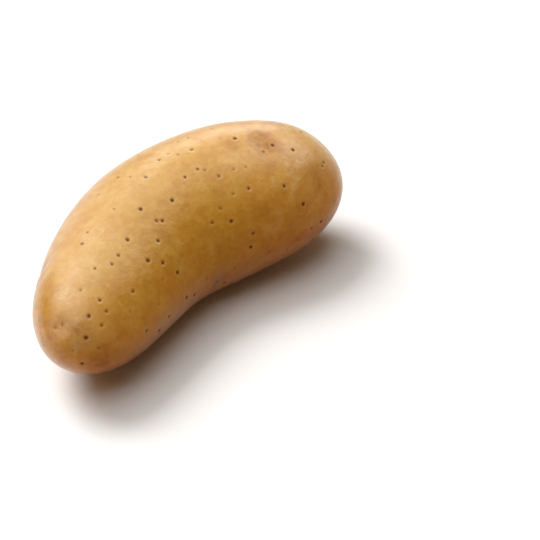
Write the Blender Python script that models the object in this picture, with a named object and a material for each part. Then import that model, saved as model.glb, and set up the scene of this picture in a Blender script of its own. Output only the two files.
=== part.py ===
"""A long salad potato with a gentle bend, washed, lying on its side.

A tuber grows as one piece, so it is one solid. Units are metres and +Z is up. X runs from the
heel, where the tuber hung on its plant, to the rose end, where most of its eyes are. Both ends
bend round towards -Y. The origin is on the table, under the middle of the outline.
"""

import math

import bmesh
import bpy
import numpy as np
from mathutils import Vector

# The tuber's length is measured along its bend, from tip to tip.
LENGTH = 0.1235

# Five even stations run from the heel to the rose end. At each one the middle line has a
# heading, in degrees from X, and the tuber has a half width.
HEADINGS_DEG = (26.0, 26.0, 0.0, -26.0, -36.0)
HALF_WIDTHS = (0.0202, 0.0206, 0.0228, 0.0238, 0.0214)
HEIGHT_OVER_WIDTH = 0.95

# An end with a bluntness of 2 is as round as an egg's. A higher one is fuller.
HEEL_BLUNTNESS = 3.1
ROSE_BLUNTNESS = 3.6

# The belly swings in under the bend, the tips lift off the table, and the skin is pressed
# flat where the tuber lies.
BELLY_SWING = 0.0045
TIP_LIFT = 0.002
FLAT_DEPTH = 0.0009
FLAT_EDGE = 0.0004

# Places on the skin are given by a share of the length, from the heel, and by an angle round
# the middle line in degrees: 0 is the outside of the bend, 90 the top, 180 the inside of the
# bend and 270 the belly.
# Each swell has a share, an angle, a spread and a height. A hollow has a negative height.
SWELLS = (
    (0.120, 60.0, 0.0100, 0.0004),  # the full shoulder of the heel
    (0.200, 34.0, 0.0090, -0.0004),  # the dip round the eye behind that shoulder
    (0.290, 48.0, 0.0100, -0.0003),
    (0.450, 170.0, 0.0120, -0.0004),  # the inside of the bend
    (0.460, 46.0, 0.0130, 0.0004),
    (0.600, 350.0, 0.0130, 0.0004),
    (0.612, 60.0, 0.0140, -0.0003),
    (0.695, 104.0, 0.0045, -0.0004),  # two shallow dips on top, with a low ridge between
    (0.732, 110.0, 0.0030, 0.0002),
    (0.770, 106.0, 0.0070, -0.0003),
    (0.820, 180.0, 0.0120, 0.0004),
    (0.889, 66.0, 0.0120, 0.0006),  # the high back of the rose end
)

# Weaker swells are spread over the whole skin by a seeded draw.
WAVES = 30
WAVE_SEED = 21
WAVE_SPREADS = (0.007, 0.014)
WAVE_HEIGHT = 0.00035

# Each eye has a share, an angle, a width and a depth. They come closer at the rose end.
EYES = (
    (0.200, 34.0, 0.0075, 0.0006),  # back
    (0.225, 292.0, 0.0085, 0.0009),  # belly
    (0.380, 334.0, 0.0090, 0.0010),  # back, low down
    (0.510, 204.0, 0.0085, 0.0008),  # inside of the bend
    (0.590, 20.0, 0.0090, 0.0010),  # back
    (0.770, 106.0, 0.0085, 0.0005),  # top
    (0.775, 298.0, 0.0085, 0.0010),  # belly
    (0.835, 24.0, 0.0080, 0.0010),  # back
    (0.880, 256.0, 0.0075, 0.0009),  # belly
    (0.930, 326.0, 0.0070, 0.0011),  # back, low down
    (0.982, 25.0, 0.0060, 0.0010),  # the crown eye beside the tip
)

# Sizes inside one eye, as shares of its width: a pit, wider than it is long, and a bent brow
# that stands up on its heel side. The brow's height is a share of the pit's depth.
PIT_LENGTH = 0.32
PIT_WIDTH = 0.48
BROW_BACK = 0.48
BROW_BEND = 0.8
BROW_THICKNESS = 0.20
BROW_WIDTH = 0.55
BROW_HEIGHT = 0.40

# The heel scar is where the stalk from the plant broke off.
SCAR_SHARE = 0.030
SCAR_ANGLE = 82.0
SCAR_SPREAD = 0.0024
SCAR_DEPTH = 0.0006

# The skin has this many cells lengthwise between the end caps, and across each cap.
BAND_CELLS = 44
CAP_CELLS = 20
# The middle line is laid out in short straight steps.
LINE_STEPS = 401
# Points of the unit ball closer than this share a cut.
SAME_PLACE = 1e-4


def clear_scene():
    for leftover in list(bpy.data.objects):
        bpy.data.objects.remove(leftover, do_unlink=True)


def along(values, share):
    """A smooth curve through evenly spaced values, read at a share of the length."""
    stations = np.linspace(0.0, 1.0, len(values))
    return np.polyval(np.polyfit(stations, values, len(values) - 1), share)


def middle_line(share):
    """The middle line seen from above, and its heading, at a share of the length."""
    steps = np.linspace(0.0, 1.0, LINE_STEPS)
    between = (steps[1:] + steps[:-1]) / 2.0
    turned = np.radians(along(HEADINGS_DEG, between))
    stride = LENGTH / (LINE_STEPS - 1)
    line_x = np.concatenate(([0.0], np.cumsum(np.cos(turned) * stride)))
    line_y = np.concatenate(([0.0], np.cumsum(np.sin(turned) * stride)))
    heading = np.radians(along(HEADINGS_DEG, share))
    return np.interp(share, steps, line_x), np.interp(share, steps, line_y), heading


def smooth_tuber(ball):
    """Points of a unit ball, moved to their places on a tuber without eyes or swells."""
    lengthwise = np.clip(ball[:, 0], -1.0, 1.0)
    share = (lengthwise + 1.0) / 2.0
    towards_rose = share * share * (3.0 - 2.0 * share)
    bluntness = HEEL_BLUNTNESS + (ROSE_BLUNTNESS - HEEL_BLUNTNESS) * towards_rose
    end_round = np.sqrt(1.0 - np.abs(lengthwise) ** bluntness)
    angle = np.arctan2(ball[:, 2], ball[:, 1])
    half_width = along(HALF_WIDTHS, share)
    line_x, line_y, heading = middle_line(share)
    swing = BELLY_SWING * (1.0 - np.sin(angle)) / 2.0
    outwards = end_round * (half_width * np.cos(angle) - swing)
    half_height = half_width * HEIGHT_OVER_WIDTH
    height = half_height * (1.0 + end_round * np.sin(angle)) + TIP_LIFT * lengthwise**2
    return np.column_stack(
        (line_x - np.sin(heading) * outwards, line_y + np.cos(heading) * outwards, height)
    )


def skin_point(share, angle_deg):
    """The smooth tuber's point at a share of its length and an angle round it."""
    lengthwise = 2.0 * share - 1.0
    radius = math.sqrt(1.0 - lengthwise**2)
    angle = math.radians(angle_deg)
    return smooth_tuber(
        np.array([[lengthwise, radius * math.cos(angle), radius * math.sin(angle)]])
    )[0]


def rosewards(share, angle_deg):
    """The direction along the skin from a place on it towards the rose end."""
    step = 0.005
    ahead = skin_point(share + step, angle_deg) - skin_point(share - step, angle_deg)
    return ahead / np.linalg.norm(ahead)


def swell_height(points, share, angle_deg, spread, height):
    offset = points - skin_point(share, angle_deg)
    return height * np.exp(-np.sum(offset**2, axis=1) / spread**2)


def eye_height(points, share, angle_deg, width, depth):
    """How far the skin stands up at each point because of one eye: a pit with its brow."""
    offset = points - skin_point(share, angle_deg)
    ahead = offset @ rosewards(share, angle_deg)
    aside = np.sum(offset**2, axis=1) - ahead**2
    pit = np.exp(-((ahead / (PIT_LENGTH * width)) ** 2) - aside / (PIT_WIDTH * width) ** 2)
    brow_line = ahead + BROW_BACK * width - BROW_BEND * aside / width
    across_brow = np.exp(-((brow_line / (BROW_THICKNESS * width)) ** 2))
    brow = across_brow * np.exp(-aside / (BROW_WIDTH * width) ** 2)
    return depth * (BROW_HEIGHT * brow - pit)


def relief(points):
    """How far the skin stands up from the smooth tuber at each point."""
    height = swell_height(points, SCAR_SHARE, SCAR_ANGLE, SCAR_SPREAD, -SCAR_DEPTH)
    for swell in SWELLS:
        height += swell_height(points, *swell)
    for eye in EYES:
        height += eye_height(points, *eye)
    draw = np.random.default_rng(WAVE_SEED)
    for _ in range(WAVES):
        share = draw.uniform(0.03, 0.97)
        angle = draw.uniform(0.0, 360.0)
        spread = draw.uniform(*WAVE_SPREADS)
        rise = draw.uniform(-WAVE_HEIGHT, WAVE_HEIGHT)
        height += swell_height(points, share, angle, spread, rise)
    return height


def press_flat(height):
    """Heights over the table, with the lowest skin pressed flat on it and its rim rounded."""
    above = height - FLAT_DEPTH
    rim = (above + FLAT_EDGE) ** 2 / (4.0 * FLAT_EDGE)
    pressed = np.where(above > FLAT_EDGE, above, rim)
    return np.where(above < -FLAT_EDGE, 0.0, pressed)


def make_ball(bm):
    """A unit ball of four-sided cells, from a cube cut lengthwise and then across."""
    bmesh.ops.create_cube(bm, size=2.0)
    lengthwise = [e for e in bm.edges if e.verts[0].co.x * e.verts[1].co.x < 0.0]
    bmesh.ops.subdivide_edges(bm, edges=lengthwise, cuts=BAND_CELLS - 1)
    crosswise = [e for e in bm.edges if abs(e.verts[0].co.x - e.verts[1].co.x) < SAME_PLACE]
    bmesh.ops.subdivide_edges(bm, edges=crosswise, cuts=CAP_CELLS - 1, use_grid_fill=True)
    for vert in bm.verts:
        vert.co = Vector([math.tan(part * math.pi / 4.0) for part in vert.co]).normalized()


def move_skin(bm, points):
    for vert, point in zip(bm.verts, points):
        vert.co = point
    bm.normal_update()


def skin_material():
    material = bpy.data.materials.new("potato_skin")
    material.use_nodes = True
    shader = material.node_tree.nodes["Principled BSDF"]
    shader.inputs["Base Color"].default_value = (0.62, 0.39, 0.16, 1.0)
    shader.inputs["Roughness"].default_value = 0.45
    shader.inputs["Metallic"].default_value = 0.0
    return material


def make_potato():
    bm = bmesh.new()
    make_ball(bm)
    smooth = smooth_tuber(np.array([vert.co[:] for vert in bm.verts]))
    move_skin(bm, smooth)
    normals = np.array([vert.normal[:] for vert in bm.verts])
    skin = smooth + normals * relief(smooth)[:, None]
    skin[:, 2] = press_flat(skin[:, 2])
    skin[:, :2] -= (skin[:, :2].max(axis=0) + skin[:, :2].min(axis=0)) / 2.0
    move_skin(bm, skin)

    mesh = bpy.data.meshes.new("potato")
    bm.to_mesh(mesh)
    bm.free()
    mesh.shade_smooth()
    mesh.materials.append(skin_material())
    potato = bpy.data.objects.new("potato", mesh)
    bpy.context.scene.collection.objects.link(potato)
    return potato


clear_scene()
make_potato()
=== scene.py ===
# %% [markdown]
# # A long salad potato, washed
#
# A potato is one swollen piece of underground stem. It has no parts to put together, so all
# of its looks come from one skin: the bend of the body, low swells, shallow eyes with a brow
# over each, and many pores, which are the dark dots. This lesson builds that skin as one fine
# mesh and one material, over a simple solid of the same shape that is loaded first.

# %% The solid that the skin stands for
import math

import bmesh
import bpy
import numpy as np
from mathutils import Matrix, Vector
from mathutils.bvhtree import BVHTree


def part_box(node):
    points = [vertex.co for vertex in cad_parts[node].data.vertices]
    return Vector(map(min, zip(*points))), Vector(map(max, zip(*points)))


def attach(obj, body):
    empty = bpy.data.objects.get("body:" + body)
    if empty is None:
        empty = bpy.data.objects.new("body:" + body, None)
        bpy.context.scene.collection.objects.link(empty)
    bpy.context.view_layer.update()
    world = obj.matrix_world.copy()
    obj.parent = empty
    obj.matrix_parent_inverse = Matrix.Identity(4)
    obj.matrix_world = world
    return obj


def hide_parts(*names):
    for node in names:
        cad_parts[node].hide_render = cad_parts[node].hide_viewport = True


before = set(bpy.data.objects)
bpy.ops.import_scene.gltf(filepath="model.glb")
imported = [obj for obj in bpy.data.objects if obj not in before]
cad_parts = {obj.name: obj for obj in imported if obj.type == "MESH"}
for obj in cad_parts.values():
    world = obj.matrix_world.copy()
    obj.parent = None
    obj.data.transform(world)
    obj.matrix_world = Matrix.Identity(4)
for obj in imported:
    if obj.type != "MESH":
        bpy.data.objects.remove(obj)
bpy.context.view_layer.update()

solid_low, solid_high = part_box("potato")
print("solid, mm:", [round(1000.0 * side, 1) for side in solid_high - solid_low])

# %% [markdown]
# ## The camera
#
# The camera comes first, because the pores are placed through it. The potato fills about
# half of a square picture, seen from above and from the heel, through a long lens that keeps
# its two ends at nearly the same scale. The camera looks at a point just over the table,
# beside the potato.

# %% Camera
PHOTO_PIXELS = 540
LENS_MM = 85.0
SENSOR_MM = 36.0
AZIMUTH = math.radians(-47.4)
ELEVATION = math.radians(38.5)
DISTANCE = 0.3724
NEAREST = 0.01
AIM = Vector((0.0125, -0.0275, 0.0150))

TO_RIGHT = Vector((math.cos(AZIMUTH), math.sin(AZIMUTH), 0.0))
TO_BACK = Vector((-math.sin(AZIMUTH), math.cos(AZIMUTH), 0.0))
TO_CAMERA = -TO_BACK * math.cos(ELEVATION) + Vector((0.0, 0.0, math.sin(ELEVATION)))
TO_TOP = TO_CAMERA.cross(TO_RIGHT)


def make_camera():
    data = bpy.data.cameras.new("camera")
    data.lens = LENS_MM
    data.sensor_width = SENSOR_MM
    data.clip_start = NEAREST
    camera = bpy.data.objects.new("camera", data)
    camera.location = AIM + TO_CAMERA * DISTANCE
    camera.rotation_mode = "QUATERNION"
    camera.rotation_quaternion = (-TO_CAMERA).to_track_quat("-Z", "Y")
    bpy.context.scene.collection.objects.link(camera)
    bpy.context.scene.camera = camera
    return camera


camera = make_camera()
print("camera, mm:", [round(1000.0 * place) for place in camera.location])

# %% [markdown]
# ## The body
#
# A bent tuber could be sculpted, or swept along a curve. Here each point of a unit ball is
# moved by a formula instead, because the same few sizes then give both the plain solid and
# this fine skin, and any point of the skin can be named by a share of the length and an angle
# round it. The middle line turns from station to station, and a half width goes with it.

# %% Sizes of the body
LENGTH = 0.1235
HEADINGS_DEG = (26.0, 26.0, 0.0, -26.0, -36.0)
HALF_WIDTHS = (0.0202, 0.0206, 0.0228, 0.0238, 0.0214)
HEIGHT_OVER_WIDTH = 0.95
HEEL_BLUNTNESS = 3.1
ROSE_BLUNTNESS = 3.6
BELLY_SWING = 0.0045
TIP_LIFT = 0.002
LINE_STEPS = 401


def along(values, share):
    """A smooth curve through evenly spaced values, read at a share of the length."""
    stations = np.linspace(0.0, 1.0, len(values))
    return np.polyval(np.polyfit(stations, values, len(values) - 1), share)


def middle_line(share):
    """The middle line seen from above, and its heading, at a share of the length."""
    steps = np.linspace(0.0, 1.0, LINE_STEPS)
    between = (steps[1:] + steps[:-1]) / 2.0
    turned = np.radians(along(HEADINGS_DEG, between))
    stride = LENGTH / (LINE_STEPS - 1)
    line_x = np.concatenate(([0.0], np.cumsum(np.cos(turned) * stride)))
    line_y = np.concatenate(([0.0], np.cumsum(np.sin(turned) * stride)))
    heading = np.radians(along(HEADINGS_DEG, share))
    return np.interp(share, steps, line_x), np.interp(share, steps, line_y), heading


print("middle line ends, mm:", np.round(1000.0 * np.array(middle_line(1.0)[:2]), 1))


# %% From a unit ball to the smooth tuber
def smooth_tuber(ball):
    """Points of a unit ball, moved to their places on a tuber without eyes or swells."""
    lengthwise = np.clip(ball[:, 0], -1.0, 1.0)
    share = (lengthwise + 1.0) / 2.0
    towards_rose = share * share * (3.0 - 2.0 * share)
    bluntness = HEEL_BLUNTNESS + (ROSE_BLUNTNESS - HEEL_BLUNTNESS) * towards_rose
    end_round = np.sqrt(1.0 - np.abs(lengthwise) ** bluntness)
    angle = np.arctan2(ball[:, 2], ball[:, 1])
    half_width = along(HALF_WIDTHS, share)
    line_x, line_y, heading = middle_line(share)
    swing = BELLY_SWING * (1.0 - np.sin(angle)) / 2.0
    outwards = end_round * (half_width * np.cos(angle) - swing)
    half_height = half_width * HEIGHT_OVER_WIDTH
    height = half_height * (1.0 + end_round * np.sin(angle)) + TIP_LIFT * lengthwise**2
    return np.column_stack(
        (line_x - np.sin(heading) * outwards, line_y + np.cos(heading) * outwards, height)
    )


def skin_point(share, angle_deg):
    """The smooth tuber's point at a share of its length and an angle round it."""
    lengthwise = 2.0 * share - 1.0
    radius = math.sqrt(1.0 - lengthwise**2)
    angle = math.radians(angle_deg)
    return smooth_tuber(
        np.array([[lengthwise, radius * math.cos(angle), radius * math.sin(angle)]])
    )[0]


# A direction is read between two places this share of the length to either side.
ASIDE = 0.005


def rosewards(share, angle_deg):
    """The direction along the skin from a place on it towards the rose end."""
    ahead = skin_point(share + ASIDE, angle_deg) - skin_point(share - ASIDE, angle_deg)
    return ahead / np.linalg.norm(ahead)


# %% [markdown]
# ## Swells and eyes
#
# The skin is not a clean tube. Low swells and hollows bend the highlight a little, and each
# eye is a pit with a bent brow on its heel side, where a leaf scale sat. A bud, no larger than
# a pin's head, sits in the pit. They are heights added along the skin's normal, so they are
# real shape: they show on the outline and in the shadow, where a bump map would not.

# %% Places of swells and eyes
# Each swell: share of the length, angle round, spread, height.
SWELLS = (
    (0.120, 60.0, 0.0100, 0.0004),
    (0.200, 34.0, 0.0090, -0.0004),
    (0.290, 48.0, 0.0100, -0.0003),
    (0.450, 170.0, 0.0120, -0.0004),
    (0.460, 46.0, 0.0130, 0.0004),
    (0.600, 350.0, 0.0130, 0.0004),
    (0.612, 60.0, 0.0140, -0.0003),
    (0.695, 104.0, 0.0045, -0.0004),
    (0.732, 110.0, 0.0030, 0.0002),
    (0.770, 106.0, 0.0070, -0.0003),
    (0.820, 180.0, 0.0120, 0.0004),
    (0.889, 66.0, 0.0120, 0.0006),
)
# Weaker swells are spread over the whole skin by a seeded draw.
WAVES = 30
WAVE_SEED = 21
WAVE_SPREADS = (0.007, 0.014)
WAVE_HEIGHT = 0.00035
WAVE_SHARES = (0.03, 0.97)

# Each eye: share of the length, angle round, width, depth.
EYES = (
    (0.200, 34.0, 0.0075, 0.0006),
    (0.225, 292.0, 0.0085, 0.0009),
    (0.380, 334.0, 0.0090, 0.0010),
    (0.510, 204.0, 0.0085, 0.0008),
    (0.590, 20.0, 0.0090, 0.0010),
    (0.770, 106.0, 0.0085, 0.0005),
    (0.775, 298.0, 0.0085, 0.0010),
    (0.835, 24.0, 0.0080, 0.0010),
    (0.880, 256.0, 0.0075, 0.0009),
    (0.930, 326.0, 0.0070, 0.0011),
    (0.982, 25.0, 0.0060, 0.0010),
)
# Sizes inside one eye are shares of its width, apart from its bud's spread in metres. The
# heights of its brow and bud are shares of the pit's depth.
PIT_LENGTH = 0.32
PIT_WIDTH = 0.48
BROW_BACK = 0.48
BROW_BEND = 0.8
BROW_THICKNESS = 0.20
BROW_WIDTH = 0.55
BROW_HEIGHT = 0.40
BUD_SPREAD = 0.0008
BUD_HEIGHT = 0.35

# The heel scar is where the stalk from the plant broke off.
SCAR_SHARE = 0.030
SCAR_ANGLE = 82.0
SCAR_SPREAD = 0.0024
SCAR_DEPTH = 0.0006
print(len(EYES), "eyes,", len(SWELLS) + WAVES, "swells")


# %% Heights of swells and eyes
def swell_height(points, share, angle_deg, spread, height):
    offset = points - skin_point(share, angle_deg)
    return height * np.exp(-np.sum(offset**2, axis=1) / spread**2)


def eye_forms(points, share, angle_deg, width):
    """How strongly each point lies in one eye's pit, on its brow and on its bud, 0 to 1."""
    offset = points - skin_point(share, angle_deg)
    ahead = offset @ rosewards(share, angle_deg)
    aside = np.sum(offset**2, axis=1) - ahead**2
    pit = np.exp(-((ahead / (PIT_LENGTH * width)) ** 2) - aside / (PIT_WIDTH * width) ** 2)
    brow_line = ahead + BROW_BACK * width - BROW_BEND * aside / width
    across_brow = np.exp(-((brow_line / (BROW_THICKNESS * width)) ** 2))
    brow = across_brow * np.exp(-aside / (BROW_WIDTH * width) ** 2)
    bud = np.exp(-(ahead**2 + aside) / BUD_SPREAD**2)
    return pit, brow, bud


def body_relief(points):
    """How far the skin stands up from the smooth tuber because of its swells and eyes."""
    height = swell_height(points, SCAR_SHARE, SCAR_ANGLE, SCAR_SPREAD, -SCAR_DEPTH)
    for swell in SWELLS:
        height += swell_height(points, *swell)
    for share, angle_deg, width, depth in EYES:
        pit, brow, bud = eye_forms(points, share, angle_deg, width)
        height += depth * (BROW_HEIGHT * brow - pit + BUD_HEIGHT * bud)
    draw = np.random.default_rng(WAVE_SEED)
    for _ in range(WAVES):
        share = draw.uniform(*WAVE_SHARES)
        angle_deg = draw.uniform(0.0, 360.0)
        spread = draw.uniform(*WAVE_SPREADS)
        rise = draw.uniform(-WAVE_HEIGHT, WAVE_HEIGHT)
        height += swell_height(points, share, angle_deg, spread, rise)
    return height


# %% [markdown]
# ## A ball of even cells
#
# An ordinary ball has poles, where its cells crowd and shading pinches, just where this
# potato shows its heel. A cube that is cut finely and blown up to a ball has none. Its edges
# along X get more cuts than the others, because the tuber is more than twice as long as it is
# wide, and the cells then come out nearly square.

# %% The ball
BAND_CELLS = 132
CAP_CELLS = 60
# Points of the cube closer than this along X share a cut.
SAME_PLACE = 1e-4


def blow_up(bm):
    """Push every point out to the unit ball."""
    for vert in bm.verts:
        vert.co.normalize()


def make_ball():
    """A unit ball of even four-sided cells, from a cube cut lengthwise and then across."""
    bm = bmesh.new()
    bmesh.ops.create_cube(bm, size=2.0)
    lengthwise = [e for e in bm.edges if e.verts[0].co.x * e.verts[1].co.x < 0.0]
    bmesh.ops.subdivide_edges(bm, edges=lengthwise, cuts=BAND_CELLS - 1)
    crosswise = [e for e in bm.edges if abs(e.verts[0].co.x - e.verts[1].co.x) < SAME_PLACE]
    bmesh.ops.subdivide_edges(bm, edges=crosswise, cuts=CAP_CELLS - 1, use_grid_fill=True)
    # The tangent makes the cuts even as angles, so that the cells stay even on the ball.
    for vert in bm.verts:
        vert.co = [math.tan(part * math.pi / 4.0) for part in vert.co]
    blow_up(bm)
    return bm


skin_bm = make_ball()
print(len(skin_bm.faces), "cells in the ball")

# %% [markdown]
# ## Onto the table
#
# The lowest skin is pressed flat where the tuber lies, as in the solid, and the whole skin is
# slid until its outline sits over the solid's.

# %% Placing the skin
FLAT_DEPTH = 0.0009
FLAT_EDGE = 0.0004


def press_flat(height):
    """Heights over the table, with the lowest skin pressed flat on it and its rim rounded."""
    above = height - FLAT_DEPTH
    rim = (above + FLAT_EDGE) ** 2 / (4.0 * FLAT_EDGE)
    pressed = np.where(above > FLAT_EDGE, above, rim)
    return np.where(above < -FLAT_EDGE, 0.0, pressed)


def coordinates(bm):
    return np.array([vert.co[:] for vert in bm.verts])


def normals_of(bm, points):
    """The normals that a mesh has once its points are moved, with the mesh left as it was."""
    kept = coordinates(bm)
    for vert, point in zip(bm.verts, points):
        vert.co = point
    bm.normal_update()
    normals = np.array([vert.normal[:] for vert in bm.verts])
    for vert, point in zip(bm.verts, kept):
        vert.co = point
    return normals


smooth = smooth_tuber(coordinates(skin_bm))
bare = smooth + normals_of(skin_bm, smooth) * body_relief(smooth)[:, None]
solid_middle = np.array((solid_low + solid_high)[:2]) / 2.0
slide = solid_middle - (bare[:, :2].max(axis=0) + bare[:, :2].min(axis=0)) / 2.0
print("slid by, mm:", np.round(1000.0 * slide, 2))

# %% [markdown]
# ## Pores
#
# A tuber breathes through pores called lenticels. Each is a spot of dark cork about a
# millimetre wide in a shallow dimple, with a paler ring of stretched skin round it. The ones
# on the side that faces the camera are placed one by one, as pixels of a square picture, and
# a ray through each pixel finds where it meets the solid. The others are drawn at random,
# kept a few millimetres apart, so no two of them run together.

# %% Pores that face the camera
# Pixels from the left and from the top, for pores of three strengths. A strength of 1 is a
# wide dark pore.
DARK_PORES = (
    (234.9, 138.4), (272.7, 145.2), (293.1, 149.8), (284.4, 186.2), (248.9, 188.6),
    (303.3, 204.1), (231.4, 221.3), (185.1, 177.1), (172.2, 200.4), (140.7, 209.0),
    (162.5, 220.9), (127.7, 239.7), (99.9, 300.3), (89.0, 316.2), (86.1, 337.8),
    (82.3, 363.4),
)
MIDDLING_PORES = (
    (263.7, 151.6), (300.9, 132.2), (323.7, 162.6), (322.3, 166.1), (219.0, 176.2),
    (197.6, 169.0), (191.7, 149.7), (159.2, 159.9), (118.1, 177.1), (145.8, 177.1),
    (87.5, 232.0), (82.1, 243.5), (118.5, 255.3), (95.1, 268.4), (106.6, 311.4),
    (101.8, 325.4), (156.7, 220.9), (112.0, 264.1),
)
FAINT_PORES = (
    (245.8, 167.1), (234.0, 169.4), (220.6, 208.5), (233.4, 194.2), (211.8, 128.7),
    (187.9, 137.9), (167.8, 154.0), (138.2, 155.5), (130.1, 177.1), (114.6, 208.7),
    (98.4, 194.1), (80.8, 290.0), (73.1, 350.6), (98.6, 348.1), (97.0, 365.0),
    (44.4, 345.5), (178.0, 142.0), (205.0, 170.0), (178.0, 155.0), (62.0, 325.0),
    (55.7, 328.0),
)
SEEN_PORES = ((1.0, DARK_PORES), (0.8, MIDDLING_PORES), (0.6, FAINT_PORES))
print(sum(len(pixels) for _, pixels in SEEN_PORES), "pores named by their pixels")

# %% From pixels to places on the skin
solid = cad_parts["potato"]
solid_tree = BVHTree.FromObject(solid, bpy.context.evaluated_depsgraph_get())


def under_pixel(pixel):
    """Where the solid shows at a pixel of the picture, or None past its outline."""
    across = (pixel[0] - PHOTO_PIXELS / 2.0) / PHOTO_PIXELS * SENSOR_MM / LENS_MM
    upwards = (PHOTO_PIXELS / 2.0 - pixel[1]) / PHOTO_PIXELS * SENSOR_MM / LENS_MM
    ray = -TO_CAMERA + TO_RIGHT * across + TO_TOP * upwards
    hit = solid_tree.ray_cast(camera.location, ray.normalized())[0]
    return None if hit is None else np.array(hit)


pores = []
for strength, pixels in SEEN_PORES:
    for pixel in pixels:
        place = under_pixel(pixel)
        if place is None:
            print("no skin at pixel", pixel)
        else:
            pores.append((place, strength))
print(len(pores), "pores face the camera")

# %% Where the picture shows no skin
# The picture shows nothing of the skin behind this circle and below this line, in pixels.
COVER_CENTRE = (208.0, 312.0)
COVER_RADIUS = 92.0
COVER_LINE = ((265.0, 255.0), (345.0, 191.0))


def to_pixels(points):
    """Where points show in the picture, in pixels from its left and its top."""
    offset = points - np.array(camera.location)
    depth = -offset @ np.array(TO_CAMERA)
    scale = LENS_MM / SENSOR_MM * PHOTO_PIXELS
    across = offset @ np.array(TO_RIGHT) / depth
    upwards = offset @ np.array(TO_TOP) / depth
    return np.column_stack((across, -upwards)) * scale + PHOTO_PIXELS / 2.0


def unseen(points, normals):
    """Which points the picture doesn't show, because they face away or are covered."""
    away = np.sum((np.array(camera.location) - points) * normals, axis=1) < 0.0
    pixels = to_pixels(points)
    in_circle = np.hypot(*(pixels - COVER_CENTRE).T) < COVER_RADIUS
    start, end = np.array(COVER_LINE)
    run = end - start
    offset = pixels - start
    under_line = (run[0] * offset[:, 1] - run[1] * offset[:, 0] > 0.0) & (offset[:, 0] > 0.0)
    return away | in_circle | under_line


# %% Pores on the rest of the skin
PORE_SEED = 12
PORE_GAP = 0.0042
HIDDEN_PORES = 170
# Each strength is drawn with the share below it.
PORE_STRENGTHS = (1.0, 0.8, 0.5, 0.35)
PORE_SHARES = (0.20, 0.22, 0.28, 0.30)

placed = bare.copy()
placed[:, :2] += slide
placed[:, 2] = press_flat(placed[:, 2])
candidates = placed[unseen(placed, normals_of(skin_bm, placed))]
draw = np.random.default_rng(PORE_SEED)
seen_pores = len(pores)
for place in candidates[draw.permutation(len(candidates))]:
    if len(pores) - seen_pores == HIDDEN_PORES:
        break
    if min(np.linalg.norm(place - other) for other, _ in pores) > PORE_GAP:
        pores.append((place, draw.choice(PORE_STRENGTHS, p=PORE_SHARES)))
print(len(pores) - seen_pores, "pores on the rest of the skin")

# %% [markdown]
# ## Finer cells where they are needed
#
# A pore is only two cells wide. Cutting all cells finer would take 700,000 triangles, so only
# the cells round each pore and each bud are cut again. The cuts are made in the ball, whose
# new points are blown up and moved by the formula like all others.

# %% Finer cells round pores and buds
FINE_RADIUS = 0.00115
FINE_CUTS = 2


def close_to(points, place):
    """Which points lie so near a place that their cells are cut finer."""
    return np.sum((points - place) ** 2, axis=1) < FINE_RADIUS**2


needs_finer = np.zeros(len(placed), bool)
for place, _ in pores:
    needs_finer |= close_to(placed, place)
for share, angle_deg, _, _ in EYES:
    needs_finer |= close_to(smooth, skin_point(share, angle_deg))
fine_edges = set()
for vert, finer in zip(skin_bm.verts, needs_finer):
    if finer:
        fine_edges.update(edge for face in vert.link_faces for edge in face.edges)
fine_edges = sorted(fine_edges, key=lambda edge: edge.index)
bmesh.ops.subdivide_edges(skin_bm, edges=fine_edges, cuts=FINE_CUTS, use_grid_fill=True)
blow_up(skin_bm)
print(len(skin_bm.faces), "cells with the finer ones")

# %% The skin before its pores
smooth = smooth_tuber(coordinates(skin_bm))
normals = normals_of(skin_bm, smooth)
skin = smooth + normals * body_relief(smooth)[:, None]
skin[:, :2] += slide
skin[:, 2] = press_flat(skin[:, 2])
print("skin over the table, mm:", round(1000.0 * skin[:, 2].max(), 1))

# %% Dimples and rims of the pores
PORE_RADIUS = 0.00063
PORE_DEPTH = 0.00020
RIM_RADIUS = 0.00105
RIM_WIDTH = 0.00035
RIM_HEIGHT = 0.00002
# A pore's radius is drawn between these shares of the full one, and a strong pore is wider.
PORE_SPREAD = (0.8, 1.15)
WEAK_SHARE = 0.8
STRENGTH_SHARE = 0.25
# No dimple is cut in the skin that touches the table, nor a whole one below this height.
TABLE_FADE = 0.001

pore_mask = np.zeros(len(skin))
ring_mask = np.zeros(len(skin))
pore_relief = np.zeros(len(skin))
draw = np.random.default_rng(PORE_SEED + 1)
for place, strength in pores:
    radius = PORE_RADIUS * draw.uniform(*PORE_SPREAD) * (WEAK_SHARE + STRENGTH_SHARE * strength)
    away = np.linalg.norm(skin - place, axis=1)
    core = np.exp(-((away / radius) ** 2))
    ring = np.exp(-(((away - RIM_RADIUS) / RIM_WIDTH) ** 2))
    pore_mask = np.maximum(pore_mask, core * strength)
    ring_mask = np.maximum(ring_mask, ring * strength)
    pore_relief += strength * (RIM_HEIGHT * ring - PORE_DEPTH * core)
off_table = np.clip(skin[:, 2] / TABLE_FADE, 0.0, 1.0)
skin += normals * (pore_relief * off_table)[:, None]
print("skin, mm:", np.round(1000.0 * (skin.max(axis=0) - skin.min(axis=0)), 1))
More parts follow.
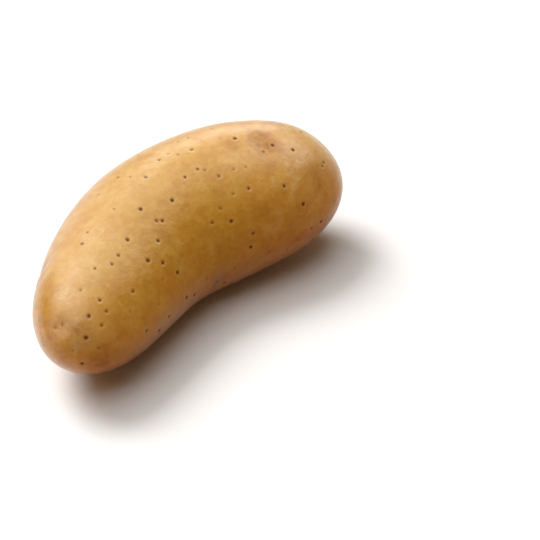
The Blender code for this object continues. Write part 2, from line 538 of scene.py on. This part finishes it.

# %% [markdown]
# ## Where the colour changes
#
# The material needs to know where the pores, eyes and patches are. Painting an image would
# do, but numbers stored on the mesh's points do it without a picture: each is a mask from 0 to
# 1 that the material reads by name. Tan patches are where the skin rubbed or an eye browned,
# and one at the heel's lower edge is painted shade where the skin turns under. Pale ones are
# paler skin, with painted highlight where the top and the heel catch the light.

# %% Tan and pale patches
# Each patch: pixel, spread, strength.
TAN_AND_SHADE_PATCHES = (
    ((259.0, 138.0), 0.0034, 1.0),
    ((270.0, 145.0), 0.0032, 1.0),
    ((262.0, 152.0), 0.0022, 0.5),
    ((232.5, 145.5), 0.0026, 0.6),
    ((315.0, 172.0), 0.0050, 0.4),
    ((62.0, 325.0), 0.0030, 0.8),
    ((75.0, 332.0), 0.0045, 0.8),
    ((45.0, 300.0), 0.0060, 0.35),
    # This one, at the heel's lower edge, is painted shade where the skin turns under towards
    # the table.
    ((97.0, 362.0), 0.0040, 0.5),
)
# The pale patches lie where the top, its upper edge and the heel catch the light: paler skin
# with painted highlight.
PALE_SKIN_AND_HIGHLIGHT_PATCHES = (
    ((87.0, 266.0), 0.0065, 0.9),
    ((99.0, 238.0), 0.0075, 0.8),
    ((70.0, 300.0), 0.0050, 0.4),
    ((116.0, 193.0), 0.0085, 0.8),
    ((140.0, 172.0), 0.0090, 0.9),
    ((160.0, 149.0), 0.0070, 0.7),
    ((247.0, 158.0), 0.0045, 0.5),
    ((294.0, 134.0), 0.0065, 0.9),
    ((322.0, 151.0), 0.0070, 1.0),
    ((85.0, 334.0), 0.0060, 0.6),
)


def patch_mask(patches):
    """How strongly each point of the skin lies in any of the patches, 0 to 1."""
    mask = np.zeros(len(skin))
    for pixel, spread, strength in patches:
        away = np.sum((skin - under_pixel(pixel)) ** 2, axis=1)
        mask = np.maximum(mask, strength * np.exp(-away / spread**2))
    return mask


tan_and_shade_mask = patch_mask(TAN_AND_SHADE_PATCHES)
pale_skin_and_highlight_mask = patch_mask(PALE_SKIN_AND_HIGHLIGHT_PATCHES)
print(len(TAN_AND_SHADE_PATCHES), "tan patches,", len(PALE_SKIN_AND_HIGHLIGHT_PATCHES), "pale ones")

# %% Eyes, buds and ends
# An eye of this depth or more has the full mask.
DEEP_EYE = 0.001
# The skin is mottled towards its ends. Each mask begins at a share of the length and is full
# that much further on.
ROSE_BEGINS = 0.58
ROSE_RUN = 0.30
HEEL_BEGINS = 0.13
HEEL_RUN = 0.10

eye_mask = np.zeros(len(skin))
bud_mask = np.zeros(len(skin))
for share, angle_deg, width, depth in EYES:
    pit, brow, bud = eye_forms(smooth, share, angle_deg, width)
    eye_mask = np.maximum(eye_mask, pit * depth / DEEP_EYE)
    bud_mask = np.maximum(bud_mask, bud)

share_of_length = (coordinates(skin_bm)[:, 0] + 1.0) / 2.0
rose_mask = np.clip((share_of_length - ROSE_BEGINS) / ROSE_RUN, 0.0, 1.0)
heel_mask = np.clip((HEEL_BEGINS - share_of_length) / HEEL_RUN, 0.0, 1.0)
end_mask = np.maximum(rose_mask, heel_mask)
print("points in an end:", int(np.count_nonzero(end_mask)))


# %% The skin as a mesh
def make_skin(bm, points, masks):
    """An object with the ball's cells at the skin's points, and with the masks on them."""
    for vert, point in zip(bm.verts, points):
        vert.co = point
    bm.normal_update()
    mesh = bpy.data.meshes.new("skin")
    bm.to_mesh(mesh)
    bm.free()
    mesh.shade_smooth()
    for name, values in masks.items():
        attribute = mesh.attributes.new(name, "FLOAT", "POINT")
        attribute.data.foreach_set("value", np.asarray(values, dtype=np.float32))
    skin_object = bpy.data.objects.new("skin", mesh)
    bpy.context.scene.collection.objects.link(skin_object)
    return skin_object


masks = {
    "pore": pore_mask,
    "ring": ring_mask,
    "tan": tan_and_shade_mask,
    "pale": pale_skin_and_highlight_mask,
    "eye": eye_mask,
    "bud": bud_mask,
    "end": end_mask,
}
potato_skin = make_skin(skin_bm, skin, masks)
triangles = sum(len(face.vertices) - 2 for face in potato_skin.data.polygons)
print(triangles, "triangles in the skin")

# %% [markdown]
# ## The skin's material
#
# Washed potato skin is a thin, satin, slightly translucent sheet of cork over pale flesh. Its
# colour drifts between gold and buff over a centimetre or two, is mottled and smudged at five
# to ten millimetres, and is freckled at two millimetres and less. A flat colour would look
# like plastic, so a noise of each size is laid over the last. The helpers below keep each
# layer to one line.

# %% A helper for nodes
def add_node(tree, kind, settings=None, **inputs):
    """A node of a kind, with its settings, and with each input set or linked.

    An input is named as in Blender, with _ for a space, or is _ and its number.
    """
    made = tree.nodes.new(kind)
    for name, value in (settings or {}).items():
        setattr(made, name, value)
    for name, value in inputs.items():
        by_number = name[1:].isdigit()
        socket = made.inputs[int(name[1:]) if by_number else name.replace("_", " ")]
        if isinstance(value, bpy.types.NodeSocket):
            tree.links.new(value, socket)
        else:
            socket.default_value = value
    return made


def attribute(tree, name):
    made = add_node(tree, "ShaderNodeAttribute", {"attribute_name": name})
    return made.outputs["Fac"]


# %% Helpers for values and masks
def maths(tree, operation, first, second):
    made = add_node(tree, "ShaderNodeMath", {"operation": operation}, _0=first, _1=second)
    return made.outputs["Value"]


def noise(tree, place, size, detail=3.0, roughness=0.5):
    """A soft noise whose blotches are about as wide as size, in metres."""
    made = add_node(
        tree, "ShaderNodeTexNoise", Vector=place,
        Scale=1.0 / size, Detail=detail, Roughness=roughness,
    )
    return made.outputs["Fac"]


def spread_out(tree, value, low, high, to_low=0.0, to_high=1.0):
    """A value between low and high, stretched to another range and held inside it."""
    made = add_node(
        tree, "ShaderNodeMapRange", {"clamp": True, "interpolation_type": "SMOOTHSTEP"},
        Value=value, From_Min=low, From_Max=high, To_Min=to_low, To_Max=to_high,
    )
    return made.outputs["Result"]


def blotches(tree, place, size, detail, roughness, begins, full):
    """A mask of blotches, from the noise value where they begin to the one where it is 1."""
    return spread_out(tree, noise(tree, place, size, detail, roughness), begins, full)


# %% Helpers for colours
def mix_colour(tree, amount, first, second):
    made = add_node(
        tree, "ShaderNodeMix",
        {"data_type": "RGBA", "blend_type": "MIX", "clamp_factor": True},
        _0=amount, _6=first, _7=second,
    )
    return made.outputs[2]


def lay_over(tree, colour, layer, mask, share):
    """A colour with a share of another laid over it where a mask is 1."""
    return mix_colour(tree, maths(tree, "MULTIPLY", mask, share), colour, layer)


# %% Colours of the skin
GOLD = (0.60, 0.272, 0.006, 1.0)
BUFF = (0.62, 0.297, 0.016, 1.0)
CREAM = (0.73, 0.435, 0.065, 1.0)
TAN = (0.34, 0.115, 0.010, 1.0)
PINKISH = (0.76, 0.360, 0.075, 1.0)
RING = (0.66, 0.400, 0.100, 1.0)
CORK = (0.170, 0.042, 0.001, 1.0)
# The pale colour is paler skin at the ends and in fine specks, and paler skin with painted
# highlight in the pale patches.
PALE_SKIN_AND_HIGHLIGHT = (0.80, 0.520, 0.190, 1.0)
BUD = (0.38, 0.160, 0.030, 1.0)

# %% Drift, mottle, smudges and freckles
# Each: size of a blotch, detail, roughness, and the noise values where it begins and is full.
DRIFT = (0.018, 3.0, 0.5, 0.38, 0.62)
MOTTLE = (0.0055, 5.0, 0.62, 0.40, 0.66)
SMUDGE = (0.0090, 5.0, 0.65, 0.52, 0.72)
FRECKLE = (0.0009, 4.0, 0.65, 0.45, 0.72)
MOTTLE_SHARE = 0.50
SMUDGE_SHARE = 0.22
FRECKLE_SHARE = 0.16


def ground_colour(tree, place, mottle):
    """The colour of plain skin."""
    colour = mix_colour(tree, blotches(tree, place, *DRIFT), GOLD, BUFF)
    colour = lay_over(tree, colour, CREAM, mottle, MOTTLE_SHARE)
    colour = lay_over(tree, colour, TAN, blotches(tree, place, *SMUDGE), SMUDGE_SHARE)
    return lay_over(tree, colour, TAN, blotches(tree, place, *FRECKLE), FRECKLE_SHARE)


# %% Pinker, blotched ends
# The blotches of the ends: size, detail and roughness of one noise, which is brown where it is
# high and pale where it is low. The brown and the pale each have the noise values where they
# begin and are full, and their shares there.
PINKISH_SHARE = 0.45
END_BLOTCH = (0.0075, 6.0, 0.68)
END_BROWN = (0.52, 0.64, 0.0, 0.50)
END_PALE = (0.49, 0.35, 0.0, 0.65)


def end_colour(tree, place, colour):
    """The colour with the mottling of the two ends over it."""
    end = attribute(tree, "end")
    colour = lay_over(tree, colour, PINKISH, end, PINKISH_SHARE)
    blotch = noise(tree, place, *END_BLOTCH)
    colour = lay_over(tree, colour, TAN, end, spread_out(tree, blotch, *END_BROWN))
    return lay_over(tree, colour, PALE_SKIN_AND_HIGHLIGHT, end, spread_out(tree, blotch, *END_PALE))


# %% Specks
# A cell noise has one speck in each cell, and its random colour chooses which of them show.
SPECK_GAP = 0.0021
SPECK_EDGE = (0.06, 0.20, 1.0, 0.0)
SPECK_CHOICE = (0.55, 1.0, 0.0, 0.35)
FINE = (0.0022, 4.0, 0.6)
FINE_BROWN = (0.50, 0.72)
FINE_PALE = (0.48, 0.30)
FINE_BROWN_SHARE = 0.22
FINE_PALE_SHARE = 0.20


def speckled(tree, place, colour):
    """The colour with single brown specks, and with fine brown and pale ones."""
    cell = add_node(
        tree, "ShaderNodeTexVoronoi", Vector=place, Scale=1.0 / SPECK_GAP, Randomness=1.0
    )
    speck = spread_out(tree, cell.outputs["Distance"], *SPECK_EDGE)
    chance = add_node(tree, "ShaderNodeSeparateColor", Color=cell.outputs["Color"])
    chosen = spread_out(tree, chance.outputs["Red"], *SPECK_CHOICE)
    colour = lay_over(tree, colour, TAN, speck, chosen)
    fine = noise(tree, place, *FINE)
    brown = spread_out(tree, fine, *FINE_BROWN)
    colour = lay_over(tree, colour, TAN, brown, FINE_BROWN_SHARE)
    pale = spread_out(tree, fine, *FINE_PALE)
    return lay_over(tree, colour, PALE_SKIN_AND_HIGHLIGHT, pale, FINE_PALE_SHARE)


# %% Patches, eyes and buds
# The round masks get a ragged edge and inside: size, detail and roughness of a noise, its
# lowest and highest value that count, and what is left of the mask there.
RAGGED = (0.0025, 4.0, 0.6)
RAGGED_RANGE = (0.3, 0.7, 0.35, 1.0)
PALE_SHARE = 0.75
TAN_SHARE = 0.95
EYE_SHARE = 0.6


def patched(tree, place, colour):
    """The colour with its patches, eyes and buds, and the mask of its tan patches."""
    ragged = spread_out(tree, noise(tree, place, *RAGGED), *RAGGED_RANGE)
    # Pale patches: paler skin with painted highlight on the lit top and heel.
    pale = maths(tree, "MULTIPLY", attribute(tree, "pale"), ragged)
    colour = lay_over(tree, colour, PALE_SKIN_AND_HIGHLIGHT, pale, PALE_SHARE)
    # The tan patches include one of painted shade, at the heel's lower edge.
    tan = maths(tree, "MULTIPLY", attribute(tree, "tan"), ragged)
    colour = lay_over(tree, colour, TAN, tan, TAN_SHARE)
    eye = maths(tree, "MULTIPLY", attribute(tree, "eye"), ragged)
    colour = lay_over(tree, colour, TAN, eye, EYE_SHARE)
    return mix_colour(tree, attribute(tree, "bud"), colour, BUD), tan


# %% Cork in the pores
RING_SHARE = 0.30
CRUMB_SIZE = 0.0006
CRUMB_DETAIL = 2.0
CRUMB_SHARE = 0.25
PORE_EDGE = (0.12, 0.95)
MIDDLE_NOISE = 0.5


def pored(tree, place, colour):
    """The colour with rings and cork in the pores, and the mask of the cork."""
    colour = lay_over(tree, colour, RING, attribute(tree, "ring"), RING_SHARE)
    crumb = noise(tree, place, CRUMB_SIZE, CRUMB_DETAIL)
    crumb = maths(tree, "SUBTRACT", crumb, MIDDLE_NOISE)
    crumb = maths(tree, "MULTIPLY", crumb, CRUMB_SHARE)
    pore = maths(tree, "ADD", attribute(tree, "pore"), crumb)
    pore = spread_out(tree, pore, *PORE_EDGE)
    return mix_colour(tree, pore, colour, CORK), pore


# %% [markdown]
# ## Satin and grain
#
# Plain skin has a faint waxy gloss, and the cork of a pore or a rubbed patch has none. One
# roughness can't say both without turning the pores grey, so the gloss is a clear coat with a
# mask: full on the skin, and gone in the cork. A little sheen pales the skin at its edges, a
# little light passes under it, and a bump adds a grain too fine to model.

# %% Gloss, and what is the same all over
ROUGHNESS = (0.0, 1.0, 0.43, 0.34)
PORE_ROUGHNESS = 0.3
TAN_DULLNESS = 0.7
SAME_ALL_OVER = {
    "Metallic": 0.0,
    "Specular IOR Level": 0.3,
    "Coat Roughness": 0.37,
    "Coat IOR": 1.55,
    "Sheen Weight": 0.35,
    "Sheen Roughness": 0.30,
    "Sheen Tint": (0.75, 0.90, 1.0, 1.0),
    "Subsurface Weight": 0.12,
    "Subsurface Radius": (1.0, 0.45, 0.15),
    "Subsurface Scale": 0.0025,
}


def add_gloss(tree, shader, mottle, pore, tan):
    """A roughness that follows the mottle, and a waxy coat that leaves out the cork."""
    roughness = spread_out(tree, mottle, *ROUGHNESS)
    roughness = maths(tree, "ADD", roughness, maths(tree, "MULTIPLY", pore, PORE_ROUGHNESS))
    tree.links.new(roughness, shader.inputs["Roughness"])
    dull = maths(tree, "MAXIMUM", pore, maths(tree, "MULTIPLY", tan, TAN_DULLNESS))
    wax = maths(tree, "SUBTRACT", 1.0, dull)
    tree.links.new(wax, shader.inputs["Coat Weight"])


# %% Grain
GRAIN = (0.0009, 4.0, 0.55)
GRAIN_SHARE = 0.4
DENTS = (0.0035, 3.0)
GRAIN_HEIGHT = 0.00017


def add_grain(tree, shader, place):
    """Low dents a few millimetres wide, with a finer grain on them."""
    grain = maths(tree, "MULTIPLY", noise(tree, place, *GRAIN), GRAIN_SHARE)
    dents = noise(tree, place, *DENTS)
    bump = add_node(
        tree, "ShaderNodeBump", Strength=1.0, Distance=GRAIN_HEIGHT,
        Height=maths(tree, "ADD", dents, grain),
    )
    tree.links.new(bump.outputs["Normal"], shader.inputs["Normal"])
    tree.links.new(bump.outputs["Normal"], shader.inputs["Coat Normal"])


# %% The skin material
def skin_material():
    material = bpy.data.materials.new("potato_skin")
    material.use_nodes = True
    tree = material.node_tree
    shader = tree.nodes["Principled BSDF"]
    place = tree.nodes.new("ShaderNodeTexCoord").outputs["Object"]
    mottle = blotches(tree, place, *MOTTLE)

    colour = ground_colour(tree, place, mottle)
    colour = end_colour(tree, place, colour)
    colour = speckled(tree, place, colour)
    colour, tan = patched(tree, place, colour)
    colour, pore = pored(tree, place, colour)
    tree.links.new(colour, shader.inputs["Base Color"])

    for name, value in SAME_ALL_OVER.items():
        shader.inputs[name].default_value = value
    add_gloss(tree, shader, mottle, pore, tan)
    add_grain(tree, shader, place)
    return material


potato_skin.data.materials.append(skin_material())
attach(potato_skin, "root")
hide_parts("potato")
print("skin material has", len(potato_skin.active_material.node_tree.nodes), "nodes")

# %% [markdown]
# ## Floor and light
#
# The potato lies on a plain white table, so bright that it has no edge. A truly white table
# would bounce white light under the potato and wash out its lower side. Only the camera, and
# the gloss of the skin's far side, see this one white: the light that it bounces is tan, and a
# weak warm light comes from all round.

# %% Floor
FLOOR_SIZE = 6.0
FLOOR_DROP = 0.0001
FLOOR_ROUGHNESS = 0.9
# The white has hardly visible clouds of this size and detail, between two greys.
CLOUDS = (0.05, 2.0)
WHITE_LOW = (0.93, 0.93, 0.93, 1.0)
WHITE_HIGH = (0.95, 0.95, 0.95, 1.0)
WARM_BOUNCE = (0.42, 0.22, 0.07, 1.0)
# The gloss sees tan nearer than the first Y and white past the second.
WARM_TO_WHITE = (-0.05, 0.0)


def floor_material():
    material = bpy.data.materials.new("table")
    material.use_nodes = True
    tree = material.node_tree
    shader = tree.nodes["Principled BSDF"]
    place = tree.nodes.new("ShaderNodeTexCoord").outputs["Object"]
    seen = mix_colour(tree, noise(tree, place, *CLOUDS), WHITE_LOW, WHITE_HIGH)
    rays = tree.nodes.new("ShaderNodeLightPath").outputs
    behind = add_node(tree, "ShaderNodeSeparateXYZ", Vector=place).outputs["Y"]
    behind = spread_out(tree, behind, *WARM_TO_WHITE)
    mirrored_white = maths(tree, "MULTIPLY", rays["Is Glossy Ray"], behind)
    white = maths(tree, "MAXIMUM", rays["Is Camera Ray"], mirrored_white)
    shade = mix_colour(tree, white, WARM_BOUNCE, seen)
    tree.links.new(shade, shader.inputs["Base Color"])
    shader.inputs["Roughness"].default_value = FLOOR_ROUGHNESS
    return material


def make_floor():
    bm = bmesh.new()
    bmesh.ops.create_grid(bm, x_segments=1, y_segments=1, size=FLOOR_SIZE / 2.0)
    bmesh.ops.translate(bm, verts=bm.verts, vec=(0.0, 0.0, -FLOOR_DROP))
    mesh = bpy.data.meshes.new("table")
    bm.to_mesh(mesh)
    bm.free()
    mesh.materials.append(floor_material())
    floor = bpy.data.objects.new("table", mesh)
    bpy.context.scene.collection.objects.link(floor)
    return floor


table = make_floor()
print("table, m:", FLOOR_SIZE, "wide")

# %% [markdown]
# ## Light
#
# The skin is lit by a wide soft light overhead and by smaller ones round it, mostly from
# behind and from the left. Its top is then pale, and the side towards the camera deeper. As
# many lights would give the table as many shadows, all long and grey. A photographer holds
# cards before the lights to keep them off the table. Light linking does the same here: a list
# tells most of the lights to leave out the table, and one more light, high on the left, to
# light nothing else. With the one overhead, it gives a short, dark shadow.

# %% Which lights reach the table
def table_rule(name, state):
    """A list for lights that names the table, either to leave it out or to light it alone."""
    rule = bpy.data.collections.new(name)
    rule.objects.link(table)
    rule.collection_objects[0].light_linking.link_state = state
    return rule


OFF_THE_TABLE = table_rule("off_the_table", "EXCLUDE")
ONLY_THE_TABLE = table_rule("only_the_table", "INCLUDE")


# %% Soft lights
# Each: name, metres to the right, behind and over the potato, size, watts, table rule.
LIGHTS = (
    ("overhead_light", -0.35, -0.05, 1.5, 1.8, 18.5, None),
    ("high_left_light", -0.9, 0.7, 1.1, 0.9, 5.0, OFF_THE_TABLE),
    ("back_light", 0.0, 1.5, 0.8, 0.9, 7.5, OFF_THE_TABLE),
    ("right_back_light", 0.9, 0.75, 1.1, 0.9, 7.0, OFF_THE_TABLE),
    ("low_back_light", -1.0, 1.2, 0.4, 0.6, 2.0, OFF_THE_TABLE),
    ("left_light", -1.2, -0.65, 0.7, 0.9, 3.5, OFF_THE_TABLE),
    ("small_light", -0.45, 0.25, 1.0, 0.35, 1.5, None),
    ("table_light", -0.8, 0.55, 1.3, 0.9, 19.0, ONLY_THE_TABLE),
)


def soft_light(name, right, back, up, size, watts, rule):
    """A square soft light that is turned towards the potato."""
    data = bpy.data.lights.new(name, "AREA")
    data.shape = "SQUARE"
    data.size = size
    data.energy = watts
    light = bpy.data.objects.new(name, data)
    light.location = TO_RIGHT * right + TO_BACK * back + Vector((0.0, 0.0, up))
    light.rotation_mode = "QUATERNION"
    light.rotation_quaternion = (-light.location).to_track_quat("-Z", "Y")
    light.light_linking.receiver_collection = rule
    bpy.context.scene.collection.objects.link(light)


for light_values in LIGHTS:
    soft_light(*light_values)
print(len(LIGHTS), "soft lights")

# %% Warm light from all round
WARM_FILL = (1.0, 0.72, 0.45, 1.0)
FILL_STRENGTH = 0.11

world = bpy.data.worlds.new("studio")
world.use_nodes = True
world.node_tree.nodes["Background"].inputs["Color"].default_value = WARM_FILL
world.node_tree.nodes["Background"].inputs["Strength"].default_value = FILL_STRENGTH
bpy.context.scene.world = world
bpy.context.scene.view_settings.view_transform = "Standard"
print("fill strength:", FILL_STRENGTH)
